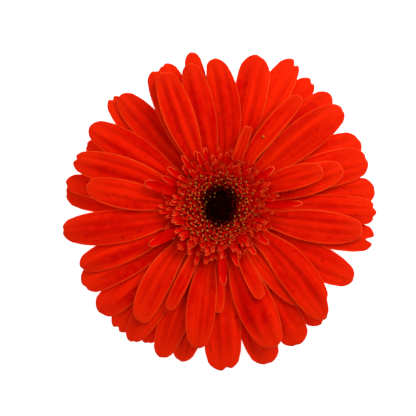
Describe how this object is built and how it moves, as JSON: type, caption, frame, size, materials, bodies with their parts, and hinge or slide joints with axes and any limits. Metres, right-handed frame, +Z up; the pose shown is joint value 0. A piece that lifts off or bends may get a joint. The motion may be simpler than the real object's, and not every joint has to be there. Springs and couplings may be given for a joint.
{
  "type": "gerbera bloom",
  "caption": "Single orange-red gerbera bloom with overlapping petals round a dark heart, cut just below its green cup and lying face up.",
  "frame": {"origin": "centre of the bloom's bounding box in X and Y, on the surface that the cut stem end rests on", "axes": "+Z up out of the bloom's face, +X and +Y across the face"},
  "size_m": [0.104, 0.106, 0.0214],
  "materials": {
    "petals": "satin, finely grooved along its length",
    "trans_florets": "satin",
    "disc_florets": "matt with olive-yellow anther tips",
    "heart": "matt",
    "bracts": "matt, finely hairy",
    "stem": "matt, pale moist cut face"
  },
  "bodies": {
    "root": {"back_petal_01": "petals", "back_petal_02": "petals", "back_petal_03": "petals", "back_petal_04": "petals", "back_petal_05": "petals", "back_petal_06": "petals", "back_petal_07": "petals", "back_petal_08": "petals", "back_petal_09": "petals", "back_petal_10": "petals", "back_petal_11": "petals", "back_petal_12": "petals", "back_petal_13": "petals", "back_petal_14": "petals", "back_petal_15": "petals", "back_petal_16": "petals", "lower_petal_01": "petals", "lower_petal_02": "petals", "lower_petal_03": "petals", "lower_petal_04": "petals", "lower_petal_05": "petals", "lower_petal_06": "petals", "lower_petal_07": "petals", "lower_petal_08": "petals", "lower_petal_09": "petals", "lower_petal_10": "petals", "lower_petal_11": "petals", "lower_petal_12": "petals", "lower_petal_13": "petals", "upper_petal_01": "petals", "upper_petal_02": "petals", "upper_petal_03": "petals", "upper_petal_04": "petals", "upper_petal_05": "petals", "upper_petal_06": "petals", "upper_petal_07": "petals", "upper_petal_08": "petals", "upper_petal_09": "petals", "upper_petal_10": "petals", "upper_petal_11": "petals", "upper_petal_12": "petals", "front_petal_01": "petals", "front_petal_02": "petals", "front_petal_03": "petals", "front_petal_04": "petals", "front_petal_05": "petals", "front_petal_06": "petals", "front_petal_07": "petals", "front_petal_08": "petals", "front_petal_09": "petals", "front_petal_10": "petals", "front_petal_11": "petals", "receptacle_and_cut_stem": "stem", "outer_bracts": "bracts", "inner_bracts": "bracts", "outer_trans_florets": "trans_florets", "inner_trans_florets": "trans_florets", "open_disc_florets": "disc_florets", "heart": "heart"}
  },
  "joints": []
}
